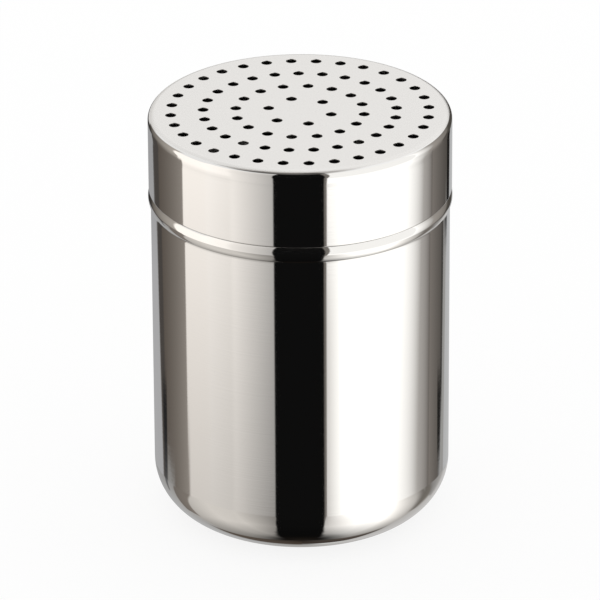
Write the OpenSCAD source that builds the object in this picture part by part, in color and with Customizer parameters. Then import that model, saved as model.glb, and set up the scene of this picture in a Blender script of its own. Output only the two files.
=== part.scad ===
// Parmesan shaker: a drawn steel cup with a rolled stop bead below its neck, and a
// perforated lid that pushes over the neck until its edge lands on the bead.
// Millimetres, +Z up. The origin is the centre of the base, on the surface it stands on.

/* [Cup] */
// Outside diameter of the cup's straight wall and of its neck
cup_d = 69.1; // [60:0.1:85]
// Height from the table to the top of the bead, where the lid's edge lands
seat_h = 80.9; // [50:0.1:140]
// Thickness of the cup's sheet
cup_wall = 0.5; // [0.3:0.05:1]
// Outside radius of the round edge between the base and the wall
base_edge_r = 12.4; // [4:0.1:20]
// Height of the rolled bead, from its lower line to its top
bead_h = 3.8; // [2:0.1:6]
// How far the bead's crest stands out past the lid's skirt
bead_proud = 0.15; // [0:0.05:0.4]

/* [Lid] */
// Outside height of the lid, from its lower edge to the plate's top face
lid_h = 18.7; // [12:0.1:30]
// Thickness of the lid's sheet
lid_wall = 0.4; // [0.3:0.05:0.8]
// Outside radius of the lid's round top edge
lid_edge_r = 1.85; // [1:0.05:3]
// How far the lid's shoulder, just below the round edge, stands out past the skirt
shoulder_out = 0.13; // [0.05:0.01:0.3]
// Height over which the shoulder draws in to the skirt
shoulder_h = 1.5; // [1:0.1:4]
// Running clearance between the neck and the skirt, all round
fit_gap = 0.05; // [0.02:0.01:0.1]
// Height left free between the cup's mouth and the start of the lid's round edge
mouth_gap = 0.5; // [0.3:0.1:3]

/* [Holes] */
// Diameter of each punched hole
hole_d = 2.45; // [1.5:0.05:3]
// Distance from the outermost ring's hole centres to the skirt's outside
plain_band = 5.3; // [4:0.1:8]
// Number of holes in each ring, from the innermost ring outwards
ring_holes = [6, 16, 25, 32]; // [1:1:40]
// Angle from +X of the first hole in each ring, from the innermost ring outwards
ring_start = [-14.9, -7.4, 4.3, 3.8]; // [-60:0.1:60]

/* [Hidden] */
$fn = 180;
hole_fn = 32;

// What every cut or clipping outline overruns the faces that it goes through
overrun = 1;

cup_r = cup_d / 2;
lid_r = cup_r + fit_gap + lid_wall;
total_h = seat_h + lid_h;
mouth_h = total_h - lid_edge_r - mouth_gap;

// Radius of the circle whose arc stands out by rise over a chord of length 2 * half
function arc_radius(half, rise) = (half * half + rise * rise) / (2 * rise);

// The bead is one arc from the cup's wall over its crest and back to the neck
bead_r = lid_r + bead_proud;
bead_arc_r = arc_radius(bead_h / 2, bead_r - cup_r);

// The shoulder is one arc from its crest down to the skirt
shoulder_r = lid_r + shoulder_out;
shoulder_arc_r = arc_radius(shoulder_h, shoulder_out);

// The rings are evenly spaced, so a ring's radius is its number times this pitch
ring_pitch = (lid_r - plain_band) / len(ring_holes);

// Half outline of a pot's foot: a plate and the round edge around it, with the outside moved
// inwards by inset
module foot_half(radius, edge_r, inset) {
    centre_r = radius - edge_r;
    translate([0, inset]) square([centre_r, edge_r - inset]);
    translate([centre_r, edge_r]) intersection() {
        circle(r = edge_r - inset);
        translate([0, -edge_r]) square(edge_r);
    }
}

// Half outline of a pot that stands on its plate: the foot and a straight wall above it
module pot_half(radius, edge_r, inset, high) {
    foot_half(radius, edge_r, inset);
    translate([0, edge_r]) square([radius - inset, high - edge_r]);
}

// Half outline of the bead, or with an inset of the groove that it makes inside the cup
module bead_half(inset) {
    intersection() {
        translate([bead_r - bead_arc_r, seat_h - bead_h / 2]) circle(r = bead_arc_r - inset);
        translate([cup_r - cup_wall, seat_h - bead_h - overrun])
            square([bead_r - cup_r + cup_wall + overrun, bead_h + 2 * overrun]);
    }
}

module cup() {
    lip_r = cup_wall / 2;
    color("silver") rotate_extrude() {
        difference() {
            union() {
                pot_half(cup_r, base_edge_r, 0, mouth_h - lip_r);
                bead_half(0);
            }
            pot_half(cup_r, base_edge_r, cup_wall, mouth_h);
            bead_half(cup_wall);
        }
        // The mouth's lip is rounded over the sheet's full thickness
        translate([cup_r - lip_r, mouth_h - lip_r]) circle(r = lip_r);
    }
}

// Half outline of the lid upside down: a pot whose wall swells past the skirt below the round edge
module lid_half(inset, high) {
    foot_half(shoulder_r, lid_edge_r, inset);
    translate([0, lid_edge_r]) square([lid_r - inset, high - lid_edge_r]);
    intersection() {
        translate([shoulder_r - shoulder_arc_r, lid_edge_r]) circle(r = shoulder_arc_r - inset);
        translate([lid_r - lid_wall, lid_edge_r])
            square([lid_wall + shoulder_out + overrun, shoulder_h + overrun]);
    }
}

module lid_shell() {
    rotate_extrude() translate([0, total_h]) mirror([0, 1]) difference() {
        lid_half(0, lid_h);
        lid_half(lid_wall, lid_h + overrun);
    }
}

module hole_ring(radius, count, start) {
    for (i = [0 : count - 1])
        rotate(start + i * 360 / count)
            translate([radius, 0, total_h - lid_wall - overrun])
                cylinder(d = hole_d, h = lid_wall + 2 * overrun, $fn = hole_fn);
}

module perforated_lid() {
    color("gainsboro") difference() {
        lid_shell();
        for (ring = [0 : len(ring_holes) - 1])
            hole_ring((ring + 1) * ring_pitch, ring_holes[ring], ring_start[ring]);
    }
}

cup();
perforated_lid();
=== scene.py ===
"""A polished steel shaker for grated cheese: a drawn cup with a rolled bead, a push-on pierced lid,
and the small studio that it stands in. Every length is in metres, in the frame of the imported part."""

import math
from typing import NamedTuple

import bmesh
import bpy
import numpy as np
from bpy.props import FloatProperty, PointerProperty, StringProperty
from mathutils import Matrix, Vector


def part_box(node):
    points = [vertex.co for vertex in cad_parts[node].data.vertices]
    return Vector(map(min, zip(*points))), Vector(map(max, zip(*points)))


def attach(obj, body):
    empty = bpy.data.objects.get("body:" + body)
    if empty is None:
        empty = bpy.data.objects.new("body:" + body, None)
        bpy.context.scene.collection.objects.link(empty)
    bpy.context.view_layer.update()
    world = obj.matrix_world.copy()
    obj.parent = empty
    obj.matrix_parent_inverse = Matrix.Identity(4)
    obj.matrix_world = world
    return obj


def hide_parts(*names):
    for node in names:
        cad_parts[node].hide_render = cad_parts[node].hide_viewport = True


bl_info = {
    "name": "Steel cheese shaker",
    "version": (1, 0, 0),
    "blender": (4, 5, 0),
    "location": "3D View > Sidebar > Shaker",
    "description": "Builds a drawn steel shaker with a pierced push-on lid, and its studio",
    "category": "Object",
}

MM = 0.001

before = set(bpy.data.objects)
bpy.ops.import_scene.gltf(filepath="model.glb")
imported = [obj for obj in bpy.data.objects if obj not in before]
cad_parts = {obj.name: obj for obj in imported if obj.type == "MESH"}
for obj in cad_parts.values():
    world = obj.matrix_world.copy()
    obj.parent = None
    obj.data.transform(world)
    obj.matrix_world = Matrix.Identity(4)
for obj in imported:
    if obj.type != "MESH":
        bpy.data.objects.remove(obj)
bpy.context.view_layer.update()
CUP_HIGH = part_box("cup")[1]
LID_LOW, LID_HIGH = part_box("perforated_lid")

# Rings of holes from the middle outwards: how many, and the angle of the first one from +X in degrees
HOLE_RINGS = ((6, -14.9), (16, -7.4), (25, 4.3), (32, 3.8))
# Corners round every turned surface
TURNED_CORNERS = 320
# Corners on the circles between the rings of holes, from the middle outwards. Each one is a multiple
# of the number of holes in the rings that it borders, so neighbouring cells share their corners. The
# last circle is also the turned skirt's first row.
CIRCLE_CORNERS = (48, 240, 400, 800, TURNED_CORNERS)
# Steps along each side border of a hole's cell
CELL_SIDE_STEPS = 11
# Corners closer than this are one, and an edge shorter than the second length is dropped
MERGE_WITHIN = 1e-6
DROP_BELOW = 1e-8
# Below its round edge the lid's wall isn't quite upright: height above the upright wall, and lean
# towards the axis in degrees. The mirrored window shows these fractions of a degree.
SHOULDER = ((0.0, 0.0), (0.6 * MM, -0.1), (1.15 * MM, -0.33), (1.7 * MM, 0.0), (2.3 * MM, 0.7),
            (2.9 * MM, 1.2))
# How near an arc's end the next row of points lies, which keeps the smooth shading off the straight
CUP_NEAR, LID_NEAR = 0.1 * MM, 0.08 * MM
# Radius of the hollow fillets where the bead meets the cup's wall and neck, and their steps
BEAD_FILLET = 0.12 * MM
FILLET_STEPS = 6
# Radii of the skirt's lower edge towards the cup and outside, and the steps of the arc outside that
# the unpolished cut takes up
FOOT_IN, FOOT_OUT = 0.05 * MM, 0.25 * MM
FOOT_CUT_STEPS = 6
# Steps of the die roll round each hole, width of the bevel at the hole's lower edge, and width of the
# flat rims round the hole above and below
DIE_ROLL_STEPS = 5
BURR = 0.03 * MM
RIM_ABOVE, RIM_BELOW = 0.1 * MM, 0.15 * MM


# ---------------------------------------------------------------- outlines, as rows of radius and height

def arc(centre_r, centre_z, radius, start, stop, steps):
    """A circle's arc: its centre plus the radius times the cosine and the sine of an angle that runs
    evenly from start to stop, in degrees."""
    angle = np.radians(np.linspace(start, stop, steps + 1))
    return np.column_stack((centre_r + radius * np.cos(angle), centre_z + radius * np.sin(angle)))


def leaning(r0, z0, knots, steps):
    """An outline that goes up from r0, z0 and leans a little. knots are rows of height above z0 and lean
    towards the axis in degrees, joined by straight lines; each step's height times the tangent of its
    lean is taken off the radius."""
    knots = np.array(knots)
    rise = np.linspace(0, knots[-1, 0], steps + 1)
    slope = np.tan(np.radians(np.interp(rise, knots[:, 0], knots[:, 1])))
    inwards = np.cumsum((slope[1:] + slope[:-1]) / 2 * np.diff(rise))
    return np.column_stack((r0 - np.concatenate(((0.0,), inwards)), z0 + rise))


def points(*rows):
    """Single points of an outline, as rows of radius and height."""
    return np.array(rows, dtype=float)


def roll_circle(wall_r, half, proud):
    """The radius of the circle that stands out from a wall by proud over a chord of twice half, and
    the distance from the axis to its centre."""
    roll = (half * half + proud * proud) / (2 * proud)
    return roll, wall_r + proud - roll


def bead_arcs(wall_r, centre_z, half, proud, fillet, steps):
    """A rolled bead with hollow fillets. Each fillet touches the wall and the roll's circle, so its
    centre lies a fillet's radius off the wall and the sum of both radii from the roll's centre."""
    roll, roll_r = roll_circle(wall_r, half, proud)
    off = wall_r + fillet - roll_r
    lift = math.sqrt((roll + fillet) ** 2 - off * off)
    touch = math.degrees(math.atan2(lift, off))
    return np.vstack((
        arc(wall_r + fillet, centre_z - lift, fillet, 180, 180 - touch, FILLET_STEPS),
        arc(roll_r, centre_z, roll, -touch, touch, steps)[1:-1],
        arc(wall_r + fillet, centre_z + lift, fillet, 180 + touch, 180, FILLET_STEPS),
    ))


# ---------------------------------------------------------------- surfaces

def grid_quads(rows, columns):
    """Corner numbers of the quads between rows of corners: each quad joins a corner to the next one
    in its row and to the two in the next row. The last column is joined to the first."""
    row = np.arange(rows - 1)[:, None]
    column = np.arange(columns)[None, :]
    after = (column + 1) % columns
    quads = (row * columns + column, row * columns + after,
             (row + 1) * columns + after, (row + 1) * columns + column)
    return np.stack(np.broadcast_arrays(*quads), axis=-1).reshape(-1, 4)


def turned(outline, corners):
    """A turned surface: a row of the outline at radius r and height z gives the points r cos a, r sin a,
    z, where the angle a runs evenly round the axis. Where the outline runs up, the faces point away
    from the axis. A row on the axis is a single point many times over, and is merged later."""
    angle = np.arange(corners) * (2 * np.pi / corners)
    r, z = outline[:, :1], outline[:, 1:]
    verts = np.stack((r * np.cos(angle), r * np.sin(angle), z + 0 * angle), axis=-1)
    return verts.reshape(-1, 3), grid_quads(len(outline), corners)


def pierced_ring(count, first, inner, outer, hole, rows, side_steps):
    """The part of a plate between two circles, cut into one cell a hole. inner and outer are pairs of
    a circle's radius and its number of corners, hole is the ring's radius, and each of rows is a
    distance from the hole's own centre, a height and a share. A row's corner lies in the direction of
    a corner of the cell's border as seen from the hole's centre: on the border itself for a share of
    one, and at the row's distance for a share of nought."""
    (inner_r, inner_n), (outer_r, outer_n) = inner, outer
    # The cell's borders keep to angles at which both circles have a corner
    common = 2 * np.pi / math.gcd(inner_n, outer_n)
    pitch = 2 * np.pi / count
    hole_at = math.radians(first)
    start = round((hole_at - pitch / 2) / common) * common
    along_out = np.linspace(0, pitch, outer_n // count + 1)[:-1]
    along_in = np.linspace(pitch, 0, inner_n // count + 1)[:-1]
    side = np.linspace(0, 1, side_steps + 1)[:-1]
    border_a = start + np.concatenate((along_out, 0 * side + pitch, along_in, 0 * side))
    border_r = np.concatenate((0 * along_out + outer_r, outer_r + side * (inner_r - outer_r),
                               0 * along_in + inner_r, inner_r + side * (outer_r - inner_r)))
    border = np.stack((border_r * np.cos(border_a), border_r * np.sin(border_a)), axis=-1)
    centre = hole * np.array((math.cos(hole_at), math.sin(hole_at)))
    away = border - centre
    direction = away / np.linalg.norm(away, axis=1, keepdims=True)
    distance, height, share = (np.array(column)[:, None, None] for column in zip(*rows))
    flat = centre + share * away + (1 - share) * distance * direction
    cell = np.concatenate((flat, height + 0 * flat[..., :1]), axis=-1)
    turn = np.arange(count) * pitch
    c, s = np.cos(turn)[:, None, None], np.sin(turn)[:, None, None]
    x, y, z = cell[None, ..., 0], cell[None, ..., 1], cell[None, ..., 2]
    verts = np.stack((c * x - s * y, s * x + c * y, z + 0 * c), axis=-1)
    quads = grid_quads(len(rows), len(border))
    size = len(rows) * len(border)
    faces = quads[None] + (np.arange(count) * size)[:, None, None]
    return verts.reshape(-1, 3), faces.reshape(-1, 4)


def join_corners(mesh):
    """Joins the corners that lie on one another, and drops the edges that this leaves without a length."""
    work = bmesh.new()
    work.from_mesh(mesh)
    bmesh.ops.remove_doubles(work, verts=work.verts, dist=MERGE_WITHIN)
    bmesh.ops.dissolve_degenerate(work, edges=work.edges, dist=DROP_BELOW)
    work.to_mesh(mesh)
    work.free()


def piece(name, body, replaced, surfaces, finishes):
    """Joins surfaces into one closed object at the origin. Each surface is its points, its quads and,
    for each quad, the number of its finish."""
    verts, faces, kinds, total = [], [], [], 0
    for points_of, quads, kind in surfaces:
        verts.append(points_of)
        faces.append(quads + total)
        kinds.append(np.broadcast_to(kind, len(quads)))
        total += len(points_of)
    mesh = bpy.data.meshes.new(name)
    mesh.from_pydata(np.vstack(verts).tolist(), [], np.vstack(faces).tolist())
    mesh.polygons.foreach_set("material_index", np.concatenate(kinds).astype(np.int32))
    join_corners(mesh)
    mesh.polygons.foreach_set("use_smooth", np.ones(len(mesh.polygons), dtype=bool))
    for finish in finishes:
        mesh.materials.append(finish)
    obj = bpy.data.objects.new(name, mesh)
    bpy.context.scene.collection.objects.link(obj)
    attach(obj, body)
    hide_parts(replaced)
    return obj


# ---------------------------------------------------------------- materials

def colour(code):
    """A linear colour from an sRGB hex code such as E4E3E1: each part is undone by the sRGB curve."""
    parts = (int(code[i:i + 2], 16) / 255 for i in (0, 2, 4))
    return (*(p / 12.92 if p <= 0.04045 else ((p + 0.055) / 1.055) ** 2.4 for p in parts), 1.0)


def node(tree, kind, settings=None, **links):
    """Adds a node. settings holds the node's own properties and, by name or number, the values of its
    sockets; links joins a socket, by name or as n with its number, to another node's output."""
    made = tree.nodes.new(kind)
    for key, value in (settings or {}).items():
        if isinstance(key, int) or key in made.inputs:
            made.inputs[key].default_value = value
        else:
            setattr(made, key, value)
    for key, source in links.items():
        target = made.inputs[int(key[1:])] if key[0] == "n" and key[1:].isdigit() else made.inputs[key]
        tree.links.new(source, target)
    return made


def mix(tree, share, first, second):
    """A mix of two colours, each an output or a fixed colour."""
    made = node(tree, "ShaderNodeMix", {"data_type": "RGBA"}, n0=share)
    for number, value in ((6, first), (7, second)):
        if isinstance(value, tuple):
            made.inputs[number].default_value = value
        else:
            tree.links.new(value, made.inputs[number])
    return made.outputs[2]


def new_material(name):
    """An empty node material with its output node."""
    made = bpy.data.materials.new(name)
    made.use_nodes = True
    made.node_tree.nodes.clear()
    return made, made.node_tree, made.node_tree.nodes.new("ShaderNodeOutputMaterial")


# How fine the marks in the steel are, in steps of the noise for a metre. The mop's lines are 0.3 mm
# apart along the height and 25 mm long round the axis: the real ones are a tenth of that, too fine to
# show, so they are drawn as coarse as they need to be.
MOP_LINES = (40, 40, 3300)
# The drawn sheet's slight waves, about 12 mm across, and the satin's grain of 0.35 mm, the size of
# the grit's marks that can just be seen
SHEET_WAVES = 85.0
SATIN_GRAIN = 2900.0
# The punch's marks run up the wall, 1 mm apart
PUNCH_MARKS = (1000, 1000, 40)
# Half the height over which the satin begins, and half the spread of the roughness of the satin and
# of the steel inside
SATIN_BEGINS = 0.04 * MM
SATIN_SPREAD = 0.01
INSIDE_SPREAD = 0.08


def spread(tree, noise, low, high, least=0.3, most=0.7):
    """A noise's usual values, from least to most, stretched from low to high."""
    return node(tree, "ShaderNodeMapRange", {1: least, 2: most, 3: low, 4: high}, Value=noise).outputs[0]


def polished_stainless(name, finish, satin_above=None):
    """Stainless sheet, drawn, then polished on a turning mop until it mirrors. The mop leaves very
    fine rings round the axis, which blur the mirror by a hair. Above satin_above, a height, the sheet
    is only satined: it scatters what it mirrors over a few degrees."""
    made, tree, out = new_material(name)
    place = node(tree, "ShaderNodeTexCoord").outputs["Object"]
    lines = node(tree, "ShaderNodeMapping", {"Scale": MOP_LINES}, Vector=place)
    rings = node(tree, "ShaderNodeTexNoise", {"Scale": 1.0, "Detail": 3.0, "Roughness": 0.6},
                 Vector=lines.outputs[0]).outputs[0]
    waves = node(tree, "ShaderNodeTexNoise", {"Scale": SHEET_WAVES, "Detail": 1.0}, Vector=place).outputs[0]
    rough = spread(tree, rings, finish.polish_min, finish.polish_max)
    if satin_above is not None:
        height = node(tree, "ShaderNodeSeparateXYZ", n0=place).outputs[2]
        satin = node(tree, "ShaderNodeMapRange",
                     {"interpolation_type": "SMOOTHSTEP", 1: satin_above - SATIN_BEGINS,
                      2: satin_above + SATIN_BEGINS}, Value=height).outputs[0]
        grain = node(tree, "ShaderNodeTexNoise", {"Scale": SATIN_GRAIN, "Detail": 2.0},
                     Vector=place).outputs[0]
        dull = spread(tree, grain, finish.satin - SATIN_SPREAD, finish.satin + SATIN_SPREAD, 0.25, 0.75)
        rough = node(tree, "ShaderNodeMix", {"data_type": "FLOAT"}, n0=satin, n2=rough, n3=dull).outputs[0]
    bump = node(tree, "ShaderNodeBump", {"Strength": 0.065, "Distance": 0.02 * MM}, Height=rings)
    wavy = node(tree, "ShaderNodeBump", {"Strength": 0.1, "Distance": 0.03 * MM}, Height=waves,
                Normal=bump.outputs[0])
    steel = node(tree, "ShaderNodeBsdfPrincipled", {"Base Color": colour(finish.steel), "Metallic": 1.0},
                 Roughness=rough, Normal=wavy.outputs[0])
    if satin_above is not None:
        # The grit's furrows hide some of the light, so satin is a little darker than the mirror
        both = mix(tree, satin, colour(finish.steel), colour(finish.satin_steel))
        tree.links.new(both, steel.inputs["Base Color"])
    tree.links.new(steel.outputs[0], out.inputs[0])
    return made


def drawn_stainless(name, finish):
    """Stainless sheet as the press leaves it, inside the cup and the lid: grey, with upright marks from
    the draw, too rough to mirror anything."""
    made, tree, out = new_material(name)
    place = node(tree, "ShaderNodeTexCoord").outputs["Object"]
    marks = node(tree, "ShaderNodeMapping", {"Scale": PUNCH_MARKS}, Vector=place)
    noise = node(tree, "ShaderNodeTexNoise", {"Scale": 1.0, "Detail": 3.0},
                 Vector=marks.outputs[0]).outputs[0]
    rough = spread(tree, noise, finish.inside - INSIDE_SPREAD, finish.inside + INSIDE_SPREAD)
    bump = node(tree, "ShaderNodeBump", {"Strength": 0.2, "Distance": 0.02 * MM}, Height=noise)
    steel = node(tree, "ShaderNodeBsdfPrincipled",
                 {"Base Color": colour(finish.inside_steel), "Metallic": 1.0},
                 Roughness=rough, Normal=bump.outputs[0])
    tree.links.new(steel.outputs[0], out.inputs[0])
    return made


# ---------------------------------------------------------------- the studio

class SetPanel(NamedTuple):
    """A flat panel of the set, as seen from the shaker. corners are the lower left, lower right, upper
    right and upper left one, each an azimuth, in degrees from the camera's side to the right, and an
    elevation, in degrees above the horizon. soft is how soft its sides and its ends are, in degrees.
    left and right are the colour and the strength at either side, where no right means the same as
    left. fade is an elevation, the share of the light that is there, and the elevation that has all."""
    name: str
    corners: tuple
    soft: tuple
    left: tuple
    right: tuple = ()
    fade: tuple = ()


# How the light falls off over the table, at the foot of the window and of the reflector, and where
# both ends of the set meet
LEFT_TABLE_FADE = (-73, 0.48, -50)
RIGHT_TABLE_FADE = (-76, 0.30, -52)
WINDOW_FADE = (-27.3, 0.53, -22.6)
REFLECTOR_FADE = (-18, 0.83, -22.3)
FAR_END_FADE = (-78, 0.12, -56)
# The set that the steel mirrors. A later panel stands in front of the earlier ones. The set reaches
# down to the table's far edge at -27, and the table fills what is below.
PANELS = (
    # The backdrop and what hangs over the camera
    SetPanel("backdrop on the right", ((20, -31), (260, -31), (260, 130), (20, 130)), (60, 10),
             ("FFFFFF", 1.14), ("FFFFFF", 1.08)),
    SetPanel("backdrop behind on the left", ((-260, -31), (-165, -31), (-165, 130), (-260, 130)), (24, 10),
             ("FFFFFF", 1.10)),
    SetPanel("far frame overhead", ((-84, 46), (26, 50), (128, 86), (-88, 94)), (26, 10), ("BFBCB9", 1)),
    SetPanel("near frame overhead", ((-64, 43), (25, 44), (27, 77), (-54, 69)), (9, 9), ("7A7774", 1),
             ("595654", 1)),
    # The room behind the set
    SetPanel("end wall on the left", ((-200, -31), (-140, -31), (-136, 16), (-200, 16)), (6, 14),
             ("E9E8E6", 1), ("E4E2E0", 1)),
    SetPanel("far left wall", ((-145, -31), (-101, -31), (-103, 29), (-147, 2)), (3, 7), ("5A554F", 1),
             ("C2BBB3", 1)),
    SetPanel("corner behind the left wall", ((-200, -31), (-150, -31), (-150, -10), (-200, -8)), (6, 10),
             ("5A5A5C", 1), ("343434", 1)),
    SetPanel("left wall's dark edge", ((-164, -31), (-147, -31), (-141, -3), (-151, -7)), (5, 5),
             ("2C2A28", 1), ("4A4743", 1)),
    # The two large lights
    SetPanel("left window", ((-105.8, -31), (-17, -31), (-17, 38), (-104.8, 13)), (3.5, 8), ("FBF5EF", 1.40),
             ("FDF8F3", 1.40), fade=WINDOW_FADE),
    SetPanel("left window's near half", ((-76, -31), (-17, -31), (-17, 38), (-76, 27)), (6, 8),
             ("FDF8F3", 1.40), ("FCF7F1", 1.02), fade=WINDOW_FADE),
    SetPanel("left window's side", ((-54, -31), (-17, -31), (-17, 38), (-54, 34)), (6, 8), ("FDF8F3", 1.14),
             ("FDFAF7", 0.50), fade=(-27.3, 0.64, -24.2)),
    SetPanel("right reflector's rim", ((14, -62), (23, -62), (25, 47), (14, 47)), (1, 6), ("7D7873", 1)),
    SetPanel("right reflector", ((19.6, -31), (98, -31), (98, 38), (22.8, 50)), (1, 9), ("FFFEFC", 1.42),
             ("FFFEFC", 1.40), fade=REFLECTOR_FADE),
    SetPanel("right reflector's near side", ((19.9, -29), (31, -29), (29, -24.5), (19.9, -24.5)), (1, 2),
             ("FFFCF8", 0.82), ("FFFEFB", 1.34)),
    SetPanel("right reflector's far side", ((91, -31), (116, -31), (114.5, 27), (95, 36)), (1, 8),
             ("FFFEFC", 1.42), ("FFF8F0", 0.36)),
    SetPanel("far right wall", ((114, -31), (149, -31), (149, 11), (114, 30)), (3, 7), ("AAA49E", 1),
             ("625E59", 1)),
    SetPanel("right wall's dark edge", ((136, -31), (200, -31), (200, 13), (140, 9)), (6, 6), ("524E49", 1),
             ("444240", 1)),
    SetPanel("light behind the right wall", ((159, -31), (260, -31), (260, -17), (160, -19)), (4, 5),
             ("E4E4E3", 1), ("F0F0EF", 1)),
    # The table round the shaker
    SetPanel("table on the left", ((-150, -92), (-80, -92), (-80, -27.2), (-150, -27.2)), (1, 0.8),
             ("E7E2DC", 0.44), ("E7E2DC", 1.01), fade=LEFT_TABLE_FADE),
    SetPanel("table before the window", ((-82, -92), (-44, -92), (-44, -27.2), (-82, -27.2)), (3, 0.8),
             ("E7E2DC", 1.01), ("E7E2DC", 0.91), fade=LEFT_TABLE_FADE),
    SetPanel("table's near end on the left", ((-56, -92), (-14, -92), (-14, -27.2), (-56, -27.2)), (5, 0.8),
             ("E7E2DC", 0.98), ("E7E2DC", 0.21), fade=LEFT_TABLE_FADE),
    SetPanel("table's end behind on the left", ((-200, -66), (-134, -56), (-122, -27.2), (-200, -27.2)),
             (5, 0.8), ("C2C4C7", 1), ("B2B0AE", 1), fade=(-29, 0.82, -40)),
    SetPanel("table on the right", ((28, -92), (140, -92), (140, -27.2), (28, -27.2)), (1, 0.8),
             ("FFFDFA", 1.45), fade=RIGHT_TABLE_FADE),
    SetPanel("table by the cloth on the right", ((19, -92), (86, -92), (35, -27.2), (19, -27.2)), (1, 0.8),
             ("FFFAF5", 0.58), ("FFFDFA", 1.45), fade=RIGHT_TABLE_FADE),
    SetPanel("table's far side on the right", ((104, -92), (204, -92), (112, -27.2), (79.5, -27.2)), (2, 0.8),
             ("FFFCF8", 1.42), ("FFF8F0", 0.30), fade=RIGHT_TABLE_FADE),
    SetPanel("table's end behind on the right", ((132, -60), (260, -66), (260, -27.2), (130, -27.2)),
             (8, 0.8), ("C6C4C2", 1), ("E2E2E3", 1)),
    SetPanel("foot of the left wall", ((-138, -44), (-126, -50), (-98, -26.5), (-120, -25)), (2.5, 1),
             ("78716B", 1), ("8A827B", 1)),
    SetPanel("foot of the right wall", ((126, -47), (134, -45), (146, -24), (105, -24)), (12, 2),
             ("736E69", 1), ("858079", 1)),
    SetPanel("table's corner on the right", ((137, -37), (150, -37), (150, -26.8), (122.5, -26.8)), (5, 1),
             ("92908E", 1), ("BDBBB9", 1)),
    # The table's far edge, where the foot of the set shows over it
    SetPanel("far left wall at the table", ((-139, -27.2), (-99.8, -27.2), (-101, -22.8), (-147, -22.8)),
             (1.6, 0.8), ("574F48", 1), ("98918A", 1)),
    SetPanel("table's side on the left", ((-200, -27.2), (-137, -27.2), (-152, -22.8), (-200, -22.8)),
             (1, 0.8), ("B6B8BA", 0.38), ("B4B4B6", 0.86), fade=(-24.8, 1.2, -23.8)),
    SetPanel("left wall's end", ((-138, -26.8), (-131.5, -26.8), (-138, -22.8), (-151, -22.8)), (1.4, 0.6),
             ("4E4A47", 1)),
    SetPanel("table's corner on the left", ((-134, -27.5), (-118.3, -27.5), (-118.3, -26.76), (-130, -26.45)),
             (1.4, 0.06), ("9F9E9C", 1)),
    SetPanel("gap beside the table on the left",
             ((-135.5, -26.73), (-131.3, -26.73), (-130.3, -25.8), (-138.3, -25.8)), (1, 0.25),
             ("262627", 1)),
    SetPanel("reflector's far side at the table",
             ((76.5, -27.2), (101.7, -27.2), (110, -22.8), (92.5, -22.8)), (0.3, 0.8), ("FFFEFC", 1.40),
             ("FFFAF5", 0.48)),
    SetPanel("reflector's edge at the table", ((101.7, -27.2), (118, -27.2), (120.5, -22.8), (110, -22.8)),
             (0.3, 0.8), ("FFFAF5", 0.48), ("FFF2E8", 0.15)),
    SetPanel("far right wall at the table", ((118, -27.2), (141, -27.2), (147, -22.8), (120.5, -22.8)),
             (0.6, 0.8), ("857F7A", 1), ("57534F", 1)),
    SetPanel("table's side on the right", ((135, -27.2), (260, -27.2), (260, -22.8), (157, -22.8)), (2, 0.8),
             ("BEBFC0", 1), ("EAEAEA", 1)),
    SetPanel("table's edge on the right", ((139, -27), (146, -27), (153, -24.2), (145, -24.2)), (1, 0.8),
             ("A6A5A3", 1), ("A09F9D", 1)),
    SetPanel("right wall's end", ((138.5, -26), (142.5, -26), (145.5, -24.3), (140.5, -24.3)), (1, 0.4),
             ("4A4845", 1)),
    SetPanel("gap beside the table on the right",
             ((133.5, -26.5), (138.7, -26.5), (141.5, -25.75), (133, -25.75)), (1, 0.25), ("242322", 1)),
    SetPanel("gap behind the table on the right",
             ((147.5, -24.4), (155.5, -24.4), (158, -22.8), (149.5, -22.8)), (1.5, 0.5), ("201F1E", 1)),
    SetPanel("gap's foot on the left", ((-143.5, -34), (-140.5, -34), (-131, -26.7), (-137, -26.7)), (2, 1),
             ("6C6C6D", 1)),
    # Both ends of the set meet behind the shaker, in the same grey
    SetPanel("far end of the set on the left", ((-200, -92), (-173, -92), (-173, 12), (-200, 12)), (12, 12),
             ("B4B2B0", 1), fade=FAR_END_FADE),
    SetPanel("far end of the set on the right", ((173, -92), (200, -92), (200, 12), (173, 12)), (12, 12),
             ("B4B2B0", 1), fade=FAR_END_FADE),
    # The black cloth on the camera's side, what the shaker stands on, and painted shade under and behind the
    # shaker
    SetPanel("camera and its cloth", ((-20.6, -38), (17.8, -38), (17.4, 50), (-20.2, 50)), (1.2, 6),
             ("101010", 1)),
    SetPanel("cloth on the floor", ((-25, -54), (21.5, -54), (17.8, -32), (-20.6, -32)), (1.4, 1),
             ("0F0F0F", 1)),
    SetPanel("cloth before the shaker", ((-31, -65), (26.5, -65), (21, -52), (-24.3, -52)), (3, 1),
             ("0E0E0E", 1)),
    SetPanel("cloth by the shaker", ((-43, -74), (34, -74), (25, -62), (-29.2, -62)), (5, 1), ("0D0D0D", 1)),
    # The black cloth carried on down to straight below the shaker, where it is painted shade under the foot
    SetPanel("cloth and painted shade under the shaker", ((-94, -92), (79, -92), (32.5, -72), (-41, -72)), (6, 1),
             ("0D0D0D", 1)),
    # Brown panels low behind the shaker, darker towards straight down: painted shade of the table round the
    # shaker's foot
    SetPanel("brown painted shade on the left", ((-204, -92), (-126, -92), (-141, -53), (-204, -72)), (8, 7),
             ("3F342C", 1.1), ("5C534B", 1.1), fade=(-84, 0.55, -66)),
    SetPanel("brown painted shade on the right", ((130, -92), (260, -92), (204, -74), (134, -56)), (8, 7),
             ("6E6761", 1), ("3A2F28", 1), fade=(-84, 0.55, -66)),
    SetPanel("shadow under the shaker", ((-140, -100), (140, -100), (140, -77.5), (-140, -77.5)), (20, 14),
             ("0E0D0C", 1)),
    SetPanel("shadow behind the shaker", ((-260, -100), (260, -100), (260, -84), (-260, -84)), (20, 14),
             ("1C1815", 1)),
)


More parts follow.
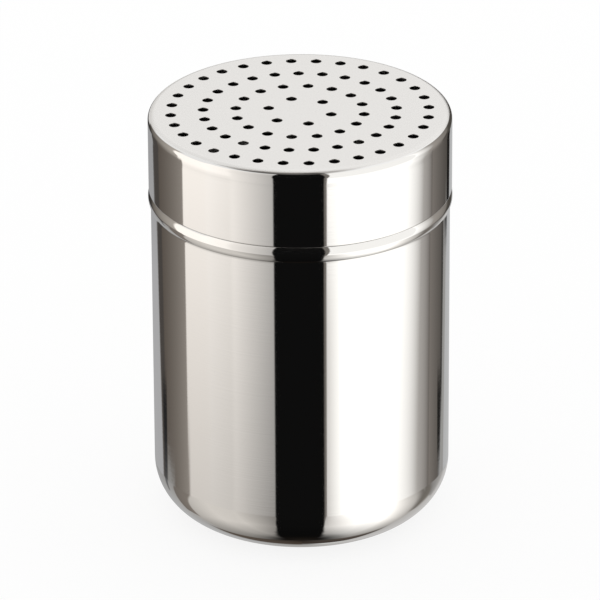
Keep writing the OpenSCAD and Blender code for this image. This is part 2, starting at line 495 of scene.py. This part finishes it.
def degrees(tree, operation, **links):
    """An angle's operation, and its result in degrees."""
    angle = node(tree, "ShaderNodeMath", {"operation": operation}, **links).outputs[0]
    return node(tree, "ShaderNodeMath", {"operation": "DEGREES"}, n0=angle).outputs[0]


def panel_shares(tree, place, corners, side_soft, end_soft):
    """How far a place is inside a panel, and how far it is from the panel's left side to its right one.
    An edge's distance is the dot product of the place, azimuth, elevation and one, with the edge's
    inward normal and what brings the edge itself to nought. The first share is the product, over the
    four edges, of a smooth step of the distance; the second is the left side's distance over the sum
    of both sides' distances."""
    share, distances = None, []
    for number, (x0, y0) in enumerate(corners):
        x1, y1 = corners[(number + 1) % 4]
        size = math.hypot(x1 - x0, y1 - y0)
        across, up = (y0 - y1) / size, (x1 - x0) / size
        distance = node(tree, "ShaderNodeVectorMath",
                        {"operation": "DOT_PRODUCT", 1: (across, up, -across * x0 - up * y0)}, n0=place)
        distances.append(distance.outputs["Value"])
        soft = (end_soft if number % 2 == 0 else side_soft) / 2
        step = node(tree, "ShaderNodeMapRange", {"interpolation_type": "SMOOTHSTEP", 1: -soft, 2: soft},
                    Value=distances[-1]).outputs[0]
        share = step if share is None else node(tree, "ShaderNodeMath", {"operation": "MULTIPLY"},
                                                n0=share, n1=step).outputs[0]
    both = node(tree, "ShaderNodeMath", {"operation": "ADD"}, n0=distances[3], n1=distances[1]).outputs[0]
    along = node(tree, "ShaderNodeMath", {"operation": "DIVIDE", "use_clamp": True}, n0=distances[3], n1=both)
    return share, along.outputs[0]


def scaled(code, strength):
    """The linear colour of a hex code times a strength."""
    return (*(strength * part for part in colour(code)[:3]), 1.0)


def studio_world(scene, studio):
    """The set round the shaker. Matt things and the camera see a plain white room at strength one;
    steel sees the panels."""
    world = bpy.data.worlds.new("white_studio")
    scene.world = world
    world.use_nodes = True
    tree = world.node_tree
    tree.nodes.clear()
    out = node(tree, "ShaderNodeOutputWorld")
    way = node(tree, "ShaderNodeSeparateXYZ", n0=node(tree, "ShaderNodeTexCoord").outputs["Generated"])
    to_camera = node(tree, "ShaderNodeMath", {"operation": "MULTIPLY", 1: -1.0}, n0=way.outputs[1]).outputs[0]
    azimuth = degrees(tree, "ARCTAN2", n0=way.outputs[0], n1=to_camera)
    elevation = degrees(tree, "ARCSINE", n0=way.outputs[2])
    place = node(tree, "ShaderNodeCombineXYZ", {2: 1.0}, n0=azimuth, n1=elevation).outputs[0]
    seen = scaled("FFFFFF", studio.backdrop)
    for part in PANELS:
        share, along = panel_shares(tree, place, part.corners, *part.soft)
        panel = mix(tree, along, scaled(*part.left), scaled(*(part.right or part.left)))
        if part.fade:
            foot, there, full = part.fade
            light = node(tree, "ShaderNodeMapRange", {1: foot, 2: full, 3: there, 4: 1.0},
                         Value=elevation).outputs[0]
            panel = node(tree, "ShaderNodeVectorMath", {"operation": "SCALE"}, n0=panel,
                         Scale=light).outputs[0]
        seen = mix(tree, share, seen, panel)
    panels = node(tree, "ShaderNodeBackground", {"Strength": 1.0}, Color=seen)
    plain = node(tree, "ShaderNodeBackground", {"Color": (1, 1, 1, 1), "Strength": 1.0})
    ray = node(tree, "ShaderNodeLightPath")
    both = node(tree, "ShaderNodeMixShader", None, n0=ray.outputs["Is Glossy Ray"], n1=plain.outputs[0],
                n2=panels.outputs[0])
    tree.links.new(both.outputs[0], out.inputs[0])


# The floor's circles, from its rim inwards, and their corners
FLOOR_RADII = (2.5, 0.2, 0)
FLOOR_CORNERS = 96


def studio_floor(scene, studio):
    """A round pale floor, turned from a level line. Steel sees through it to the panels, so that they
    run down to the table's level as in a tall set."""
    # The paper lies a hair below the base, so that the two never flicker into each other
    level = -0.02 * MM
    verts, faces = turned(points(*((radius, level) for radius in FLOOR_RADII)), FLOOR_CORNERS)
    mesh = bpy.data.meshes.new("floor")
    mesh.from_pydata(verts.tolist(), [], faces.tolist())
    join_corners(mesh)
    # Matt white paper, almost as bright as the room
    paper, tree, out = new_material("matt_white_paper")
    matt = node(tree, "ShaderNodeBsdfPrincipled", {"Base Color": colour(studio.floor_colour),
                                                   "Roughness": 1.0, "Specular IOR Level": 0.0})
    white = node(tree, "ShaderNodeEmission", {"Color": (1, 1, 1, 1), "Strength": 1.0})
    # The camera sees most of it as the backdrop's plain white, and the rest keeps the shadow
    ray = node(tree, "ShaderNodeLightPath").outputs["Is Camera Ray"]
    share = node(tree, "ShaderNodeMath", {"operation": "MULTIPLY", 1: studio.floor_glow}, n0=ray).outputs[0]
    both = node(tree, "ShaderNodeMixShader", None, n0=share, n1=matt.outputs[0], n2=white.outputs[0])
    tree.links.new(both.outputs[0], out.inputs[0])
    mesh.materials.append(paper)
    floor = bpy.data.objects.new("floor", mesh)
    scene.collection.objects.link(floor)
    floor.visible_glossy = False


# The camera's sensor width in millimetres, and the nearest and the farthest that it sees, in metres
SENSOR_WIDTH = 36
CLIP = (0.05, 50)


def studio_camera(scene, studio):
    """The camera stands in front, raised by the elevation and rolled a hair, and looks past the top
    plate's centre at the middle of the cup. Its place is the plate's centre, plus the two offsets
    along its own right and up, less the distance along its view."""
    lift, roll = studio.elevation, studio.roll
    ahead = np.array((0, math.cos(lift), -math.sin(lift)))
    up, right = np.array((0, math.sin(lift), math.cos(lift))), np.array((1, 0, 0))
    c, s = math.cos(roll), math.sin(roll)
    image_right, image_up = c * right - s * up, s * right + c * up
    top = np.array((0, 0, LID_HIGH[2]))
    place = top + image_right * studio.camera_right - image_up * studio.camera_down - ahead * studio.distance
    lens = bpy.data.cameras.new("camera")
    lens.lens, lens.sensor_width = studio.lens, SENSOR_WIDTH
    lens.clip_start, lens.clip_end = CLIP
    camera = bpy.data.objects.new("camera", lens)
    turn = np.eye(4)
    turn[:3, 0], turn[:3, 1], turn[:3, 2], turn[:3, 3] = image_right, image_up, -ahead, place
    camera.matrix_world = Matrix(turn.tolist())
    scene.collection.objects.link(camera)
    scene.camera = camera


# ---------------------------------------------------------------- sizes that a user may change

def length(name, description, default, low=0.0, high=0.3):
    """A length in metres, shown in the scene's units."""
    return FloatProperty(name=name, description=description, default=default, min=low, max=high,
                         precision=5, unit="LENGTH", subtype="DISTANCE")


class ShakerCup(bpy.types.PropertyGroup):
    """Sizes of the drawn cup."""
    radius: length("Wall radius", "Radius of the outside of the straight wall and of the neck", 34.55 * MM)
    edge: length("Round edge", "Radius of the round edge between the base and the wall", 12.4 * MM)
    sheet: length("Sheet", "Thickness of the steel sheet", 0.5 * MM)
    seat: length("Seat height", "Height of the bead's top, where the lid lands", LID_LOW[2])
    bead: length("Bead height", "Height of the rolled bead", 3.8 * MM)
    crest: length("Bead radius", "Radius of the bead's crest", 35.15 * MM)
    mouth: length("Mouth height", "Height of the cup's mouth", CUP_HIGH[2])


class ShakerLid(bpy.types.PropertyGroup):
    """Sizes of the push-on lid."""
    skirt: length("Skirt radius", "Radius of the outside of the skirt", 35.0 * MM)
    edge: length("Round edge", "Radius of the round edge between the plate and the skirt", 1.72 * MM)
    satin_edge: length("Satin's edge", "Height below the top to which the satin runs on over the round edge",
                       0.38 * MM)
    sheet: length("Sheet", "Thickness of the steel sheet", 0.4 * MM)
    hole: length("Hole radius", "Radius of each punched hole", 1.225 * MM)
    die_roll: length("Die roll", "Radius that the punch presses round each hole's upper edge", 0.12 * MM)
    ring_pitch: length("Ring pitch", "Distance from one ring of holes to the next", 7.425 * MM)
    foot: length("Lower edge", "Height of the skirt's lower edge", LID_LOW[2])
    top: length("Top", "Height of the plate's top face", LID_HIGH[2])


class ShakerFinish(bpy.types.PropertyGroup):
    """Colours and roughness of the steel."""
    steel: StringProperty(name="Polished steel", description="Colour of the polished steel, as sRGB hex",
                          default="E4E3E1")
    satin_steel: StringProperty(name="Satin steel", description="Colour of the lid's top face, as sRGB hex",
                                default="DFDDDA")
    inside_steel: StringProperty(name="Inner steel", description="Colour of the steel inside, as sRGB hex",
                                 default="8F8D8A")
    polish_min: FloatProperty(name="Finest polish", description="Roughness between the polishing lines",
                              default=0.03, min=0, max=1, subtype="FACTOR")
    polish_max: FloatProperty(name="Coarsest polish", description="Roughness in the polishing lines",
                              default=0.055, min=0, max=1, subtype="FACTOR")
    satin: FloatProperty(name="Satin", description="Roughness of the lid's top face",
                         default=0.28, min=0, max=1, subtype="FACTOR")
    inside: FloatProperty(name="Inside", description="Roughness of the steel inside", default=0.42,
                          min=0, max=1, subtype="FACTOR")


class ShakerStudio(bpy.types.PropertyGroup):
    """The camera and the set."""
    lens: FloatProperty(name="Lens", description="Focal length in millimetres", default=370.15)
    distance: length("Distance", "From the camera to the plane through the plate's centre", 1.41575, 0.2, 10)
    elevation: FloatProperty(name="Elevation", description="Angle of the view above the horizon",
                             default=math.radians(25.035), unit="ROTATION", subtype="ANGLE")
    roll: FloatProperty(name="Roll", description="Turn of the camera about its view",
                        default=math.radians(0.289), unit="ROTATION", subtype="ANGLE")
    camera_right: length("Right", "Camera's offset to its right", 0.016 * MM, -0.1)
    camera_down: length("Down", "Camera's offset downwards", 43.389 * MM, -0.1)
    backdrop: FloatProperty(name="Backdrop", description="Strength of the white backdrop", default=1.0,
                            min=0, max=2, subtype="FACTOR")
    floor_glow: FloatProperty(name="Floor's white", description="Share of the floor that is plain white",
                              default=0.83, min=0, max=1, subtype="FACTOR")
    floor_colour: StringProperty(name="Floor", description="Colour of the floor, as sRGB hex",
                                 default="FDFDFD")


# ---------------------------------------------------------------- operators

class SHAKER_OT_cup(bpy.types.Operator):
    """Build the drawn cup with its rolled bead"""
    bl_idname = "shaker.cup"
    bl_label = "Cup"
    bl_options = {"REGISTER", "UNDO"}

    def execute(self, context):
        size, finish = context.scene.shaker_cup, context.scene.shaker_finish
        r, edge, sheet, near = size.radius, size.edge, size.sheet, CUP_NEAR
        middle, half = size.seat - size.bead / 2, size.bead / 2
        flat, inner, lip = r - edge, r - sheet, sheet / 2
        cut_lip = arc(r - lip, size.mouth - lip, lip, 0, 180, steps=10)
        outside = np.vstack((
            points((0, 0), (flat - near, 0)),
            arc(flat, edge, edge, -90, 0, steps=40),
            points((r, edge + near), (r, middle - half - 5 * near)),
            bead_arcs(r, middle, half, size.crest - r, BEAD_FILLET, steps=28),
            points((r, size.seat + 2 * near), (r, size.mouth - lip - near)),
            cut_lip,
        ))
        # The groove inside the bead keeps the sheet's thickness, up to where it meets the wall inside
        roll, roll_r = roll_circle(r, half, size.crest - r)
        groove = roll - sheet
        turn = math.acos((inner - roll_r) / groove)
        rise, turn = groove * math.sin(turn), math.degrees(turn)
        inside = np.vstack((
            points((inner, size.mouth - lip - near), (inner, middle + rise + near / 2)),
            arc(roll_r, middle, groove, turn, -turn, steps=20),
            points((inner, middle - rise - near / 2), (inner, edge + near)),
            arc(flat, edge, edge - sheet, 0, -90, steps=24),
            points((flat - near, sheet), (0, sheet)),
        ))
        outline = np.vstack((outside, inside))
        verts, faces = turned(outline, TURNED_CORNERS)
        # The cut lip stays unpolished, as the inside does, and its grey is also painted shade inside the lid,
        # which keeps it from glinting through the holes
        polished_rows = len(outside) - len(cut_lip)
        kinds = np.repeat(np.arange(len(outline) - 1) >= polished_rows, TURNED_CORNERS).astype(int)
        piece("cup_drawn", "cup", "cup", [(verts, faces, kinds)],
              [polished_stainless("polished_stainless_cup", finish),
               drawn_stainless("drawn_stainless_cup", finish)])
        return {"FINISHED"}


class SHAKER_OT_lid(bpy.types.Operator):
    """Build the pierced lid: its turned skirt and a plate of one cell a hole"""
    bl_idname = "shaker.lid"
    bl_label = "Lid"
    bl_options = {"REGISTER", "UNDO"}

    def execute(self, context):
        size, finish = context.scene.shaker_lid, context.scene.shaker_finish
        top, under, near = size.top, size.top - size.sheet, LID_NEAR
        inner_skirt = size.skirt - size.sheet
        # The shoulder's top leans as the round edge's arc does where it begins
        height, lean = SHOULDER[-1]
        level = top - size.edge
        start = level + size.edge * math.sin(math.radians(lean))
        shoulder = leaning(size.skirt, start - height, SHOULDER, steps=29)
        flat = shoulder[-1, 0] - size.edge * math.cos(math.radians(lean))
        inside = np.vstack((
            points((flat - near, under)),
            arc(flat, level, size.edge - size.sheet, 90, 0, steps=10),
            points((inner_skirt, level - near), (inner_skirt, size.foot + FOOT_IN + near)),
            arc(inner_skirt + FOOT_IN, size.foot + FOOT_IN, FOOT_IN, 180, 270, steps=4),
        ))
        outside = np.vstack((
            arc(size.skirt - FOOT_OUT, size.foot + FOOT_OUT, FOOT_OUT, -90, 0, steps=8),
            points((size.skirt, size.foot + FOOT_OUT + near)),
            shoulder,
            arc(flat, level, size.edge, lean, 90, steps=30)[1:],
            points((flat - near, top)),
        ))
        outline = np.vstack((inside, outside))
        verts, faces = turned(outline, TURNED_CORNERS)
        # The cut edge at the foot stays unpolished, as the inside does
        unpolished_rows = len(inside) + FOOT_CUT_STEPS
        kinds = np.repeat(np.arange(len(outline) - 1) < unpolished_rows, TURNED_CORNERS).astype(int)
        surfaces = [(verts, faces, kinds)]

        # A hole's rows from the plate's top face down to its underside, the last ones unpolished
        hole, roll = size.hole, size.die_roll
        seen = [(0, top, 1), (hole + roll + RIM_ABOVE, top, 0)]
        seen += [(hole + roll - roll * math.sin(t), top - roll + roll * math.cos(t), 0)
                 for t in np.linspace(0, np.pi / 2, DIE_ROLL_STEPS + 1)]
        seen += [(hole, top - roll - BURR, 0), (hole, under + 2 * BURR, 0), (hole, under + BURR, 0)]
        hidden = [(hole + 0.3 * BURR, under + 0.3 * BURR, 0), (hole + BURR, under, 0),
                  (hole + RIM_BELOW, under, 0), (0, under, 1)]
        rows = seen + hidden
        middles = [(ring + 0.5) * size.ring_pitch for ring in range(len(HOLE_RINGS))] + [flat - near]
        circles = list(zip(middles, CIRCLE_CORNERS))
        for ring, (count, first) in enumerate(HOLE_RINGS):
            verts, faces = pierced_ring(count, first, circles[ring], circles[ring + 1],
                                        (ring + 1) * size.ring_pitch, rows, CELL_SIDE_STEPS)
            per_row = len(faces) // count // (len(rows) - 1)
            kinds = np.tile(np.repeat(np.arange(len(rows) - 1) >= len(seen), per_row), count).astype(int)
            surfaces.append((verts, faces, kinds))
        # The middle of the plate has no hole: its two faces close at the axis
        disc_r, corners = circles[0]
        for face, kind in ((points((disc_r, top), (0, top)), 0), (points((0, under), (disc_r, under)), 1)):
            verts, faces = turned(face, corners)
            surfaces.append((verts, faces, kind))
        piece("lid_pierced", "lid", "perforated_lid", surfaces,
              [polished_stainless("polished_stainless_lid", finish, satin_above=top - size.satin_edge),
               drawn_stainless("drawn_stainless_lid", finish)])
        return {"FINISHED"}


class SHAKER_OT_studio(bpy.types.Operator):
    """Set up the white studio: the room that the steel mirrors, the floor and the camera"""
    bl_idname = "shaker.studio"
    bl_label = "Studio"
    bl_options = {"REGISTER", "UNDO"}

    def execute(self, context):
        scene = context.scene
        scene.view_settings.view_transform = "Standard"
        studio_world(scene, scene.shaker_studio)
        studio_floor(scene, scene.shaker_studio)
        studio_camera(scene, scene.shaker_studio)
        return {"FINISHED"}


class VIEW3D_PT_shaker(bpy.types.Panel):
    """The shaker's sizes and the buttons that build it"""
    bl_label = "Cheese shaker"
    bl_space_type = "VIEW_3D"
    bl_region_type = "UI"
    bl_category = "Shaker"

    def draw(self, context):
        for operator, group in PANEL_ROWS:
            box = self.layout.box()
            box.operator(operator.bl_idname)
            for name in group:
                values = getattr(context.scene, name)
                for key in values.__annotations__:
                    box.prop(values, key)


OPERATORS = (SHAKER_OT_cup, SHAKER_OT_lid, SHAKER_OT_studio)
PANEL_ROWS = ((SHAKER_OT_cup, ("shaker_cup",)), (SHAKER_OT_lid, ("shaker_lid", "shaker_finish")),
              (SHAKER_OT_studio, ("shaker_studio",)))
GROUPS = {"shaker_cup": ShakerCup, "shaker_lid": ShakerLid, "shaker_finish": ShakerFinish,
          "shaker_studio": ShakerStudio}
CLASSES = (*GROUPS.values(), *OPERATORS, VIEW3D_PT_shaker)


def register():
    for made in CLASSES:
        bpy.utils.register_class(made)
    for name, group in GROUPS.items():
        setattr(bpy.types.Scene, name, PointerProperty(type=group))


def unregister():
    for name in GROUPS:
        delattr(bpy.types.Scene, name)
    for made in reversed(CLASSES):
        bpy.utils.unregister_class(made)


def main():
    register()
    bpy.ops.shaker.cup()
    bpy.ops.shaker.lid()
    bpy.ops.shaker.studio()
    bpy.context.view_layer.update()


if __name__ == "__main__":
    main()
